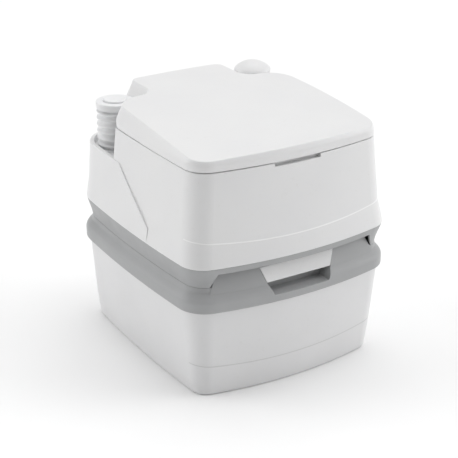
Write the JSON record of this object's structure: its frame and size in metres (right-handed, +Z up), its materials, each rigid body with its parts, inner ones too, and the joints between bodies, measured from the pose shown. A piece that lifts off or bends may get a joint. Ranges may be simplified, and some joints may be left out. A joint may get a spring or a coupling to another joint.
{
  "type": "portable cassette toilet",
  "caption": "Portable two-tank toilet: lift-off flush tank with bowl, hinged seat and lid, bellows pump and filler, on a waste tank with slide valve and pour spout.",
  "frame": {"origin": "centre of the base at floor level", "axes": "+Z up, the front with the valve handle faces -Y, +X to the right seen from the front"},
  "size_m": [0.383, 0.427, 0.414],
  "materials": {
    "white_shell": "satin moulded polyethylene",
    "white_inner": "gloss moulded plastic",
    "grey_shell": "satin moulded plastic",
    "grey_inner": "plain moulded plastic",
    "spout_plastic": "satin moulded plastic",
    "pump_plastic": "soft moulded plastic",
    "bellows": "flexible polyethylene",
    "seal_rubber": "soft rubber",
    "bumper_rubber": "grey rubber",
    "clear_tube": "extruded tube",
    "steel": "stainless steel"
  },
  "bodies": {
    "waste_tank": {"waste_tub": "white_shell", "waste_deck": "grey_shell", "valve_housing": "grey_inner", "valve_housing_screws": "steel", "valve_seal": "seal_rubber", "spout_socket": "grey_inner", "spout_washer": "seal_rubber", "vent_guide": "grey_inner", "vent_spring": "steel"},
    "valve": {"valve_blade": "grey_inner", "valve_rod": "grey_inner", "valve_handle": "white_shell"},
    "spout": {"pour_spout": "spout_plastic"},
    "spout_cap_ring": {"spout_cap_seal": "seal_rubber"},
    "spout_cap": {"spout_cap": "spout_plastic"},
    "vent_button": {"vent_button": "spout_plastic"},
    "flush_unit": {"flush_tank": "white_shell", "tank_skirt": "grey_shell", "skirt_screws": "steel", "latch_pin": "steel", "bowl": "white_inner", "outlet_seal": "seal_rubber", "hinge_bracket_left": "grey_inner", "hinge_bracket_right": "grey_inner", "bracket_screws": "steel", "hinge_pin": "steel", "pump_base": "pump_plastic", "pump_bellows": "bellows", "pump_inlet_tube": "clear_tube", "pump_strainer": "grey_inner", "flush_pipe": "clear_tube", "flush_nozzle": "white_inner", "fill_neck": "white_inner"},
    "latch": {"tank_latch": "grey_shell"},
    "seat": {"seat": "white_inner", "seat_bumpers": "bumper_rubber"},
    "lid": {"lid": "white_shell", "lid_bumpers": "bumper_rubber"},
    "pump_button": {"pump_collar": "pump_plastic", "pump_button": "pump_plastic"},
    "fill_cap_ring": {"fill_cap_seal": "seal_rubber"},
    "fill_cap": {"fill_cap": "white_shell"}
  },
  "joints": [
    {"name": "flush_unit_lift", "type": "slide", "parent": "waste_tank", "child": "flush_unit", "axis": [0, 0, 1], "range_m": [0, 0.12]},
    {"name": "latch_hinge", "type": "hinge", "parent": "flush_unit", "child": "latch", "pos_m": [-0.112, 0.2093, 0.2115], "axis": [1, 0, 0], "range_deg": [0, 80]},
    {"name": "seat_hinge", "type": "hinge", "parent": "flush_unit", "child": "seat", "pos_m": [0, 0.172, 0.38], "axis": [-1, 0, 0], "range_deg": [0, 95]},
    {"name": "lid_hinge", "type": "hinge", "parent": "seat", "child": "lid", "pos_m": [0, 0.172, 0.38], "axis": [-1, 0, 0], "range_deg": [0, 100]},
    {"name": "pump_press", "type": "slide", "parent": "flush_unit", "child": "pump_button", "axis": [0, 0, -1], "range_m": [0, 0.03], "stiffness_N_per_m": 600, "springref_m": -0.004, "deforming": ["pump_bellows"]},
    {"name": "fill_cap_turn", "type": "hinge", "parent": "flush_unit", "child": "fill_cap_ring", "pos_m": [0.132, 0.142, 0.398], "axis": [0, 0, 1], "range_deg": [0, 300]},
    {"name": "fill_cap_lift", "type": "slide", "parent": "fill_cap_ring", "child": "fill_cap", "axis": [0, 0, 1], "range_m": [0, 0.045]},
    {"name": "valve_slide", "type": "slide", "parent": "waste_tank", "child": "valve", "axis": [0, -1, 0], "range_m": [0, 0.092]},
    {"name": "spout_swivel", "type": "hinge", "parent": "waste_tank", "child": "spout", "pos_m": [0.095, 0.177, 0.185], "axis": [0, 0, -1], "range_deg": [0, 95]},
    {"name": "spout_cap_turn", "type": "hinge", "parent": "spout", "child": "spout_cap_ring", "pos_m": [-0.023, 0.177, 0.185], "axis": [-1, 0, 0], "range_deg": [0, 300]},
    {"name": "spout_cap_pull", "type": "slide", "parent": "spout_cap_ring", "child": "spout_cap", "axis": [-1, 0, 0], "range_m": [0, 0.03]},
    {"name": "vent_press", "type": "slide", "parent": "waste_tank", "child": "vent_button", "axis": [0, 0, -1], "range_m": [0, 0.0035], "stiffness_N_per_m": 400, "springref_m": -0.002, "deforming": ["vent_spring"]}
  ]
}
